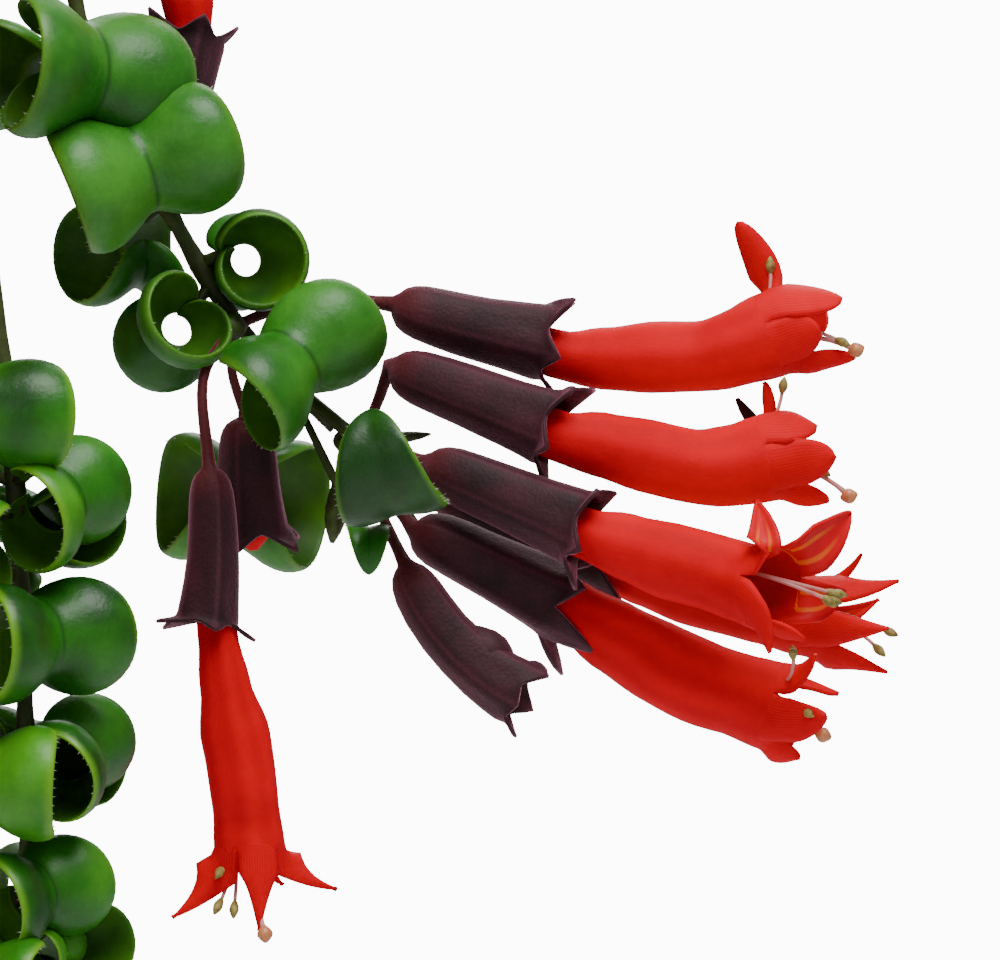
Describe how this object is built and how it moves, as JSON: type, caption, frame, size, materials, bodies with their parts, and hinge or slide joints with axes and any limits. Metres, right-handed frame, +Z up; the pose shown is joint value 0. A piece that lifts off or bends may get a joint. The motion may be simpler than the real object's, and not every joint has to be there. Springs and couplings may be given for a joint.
{
  "type": "lipstick plant hanging basket",
  "caption": "Hanging basket with a curly-leaved trailing plant: rolled glossy leaves, dark purple calyxes and red tubular flowers, on a wire hanger.",
  "frame": {"origin": "top of the inside of the hook's bend, where it hangs on its support", "axes": "+Z up; +X towards the flowering stem of the picture; the picture looks along +Y"},
  "size_m": [0.3541, 0.348, 0.4496],
  "materials": {
    "leaf": "glossy",
    "calyx": "velvety",
    "corolla": "satin",
    "pot_plastic": "satin",
    "soil": "rough",
    "wire": "galvanised"
  },
  "bodies": {
    "root": {"calyces_028": "calyx", "calyces_092": "calyx", "calyces_105_crown": "calyx", "calyces_148": "calyx", "calyces_212": "calyx", "calyces_268": "calyx", "calyces_front_axil": "calyx", "calyces_front_tip": "calyx", "calyces_front_top": "calyx", "corolla_028_1": "corolla", "corolla_028_2": "corolla", "corolla_092_1": "corolla", "corolla_092_2": "corolla", "corolla_105_crown_1": "corolla", "corolla_105_crown_2": "corolla", "corolla_148_1": "corolla", "corolla_148_2": "corolla", "corolla_212_1": "corolla", "corolla_212_2": "corolla", "corolla_268_1": "corolla", "corolla_268_2": "corolla", "corolla_front_axil_1": "corolla", "corolla_front_axil_6": "corolla", "corolla_front_tip_2": "corolla", "corolla_front_tip_3": "corolla", "corolla_front_tip_4": "corolla", "corolla_front_tip_9": "corolla", "corolla_front_top_8": "corolla", "crown_020": "leaf", "crown_105": "leaf", "crown_200": "leaf", "crown_290": "leaf", "hook": "wire", "pot": "pot_plastic", "saucer": "pot_plastic", "soil": "soil", "stem_028": "leaf", "stem_056": "leaf", "stem_092": "leaf", "stem_120": "leaf", "stem_148": "leaf", "stem_176": "leaf", "stem_212": "leaf", "stem_240": "leaf", "stem_268": "leaf", "stem_296": "leaf", "stem_front": "leaf", "stem_left": "leaf", "strand_1": "wire", "strand_2": "wire", "strand_3": "wire"}
  },
  "joints": []
}
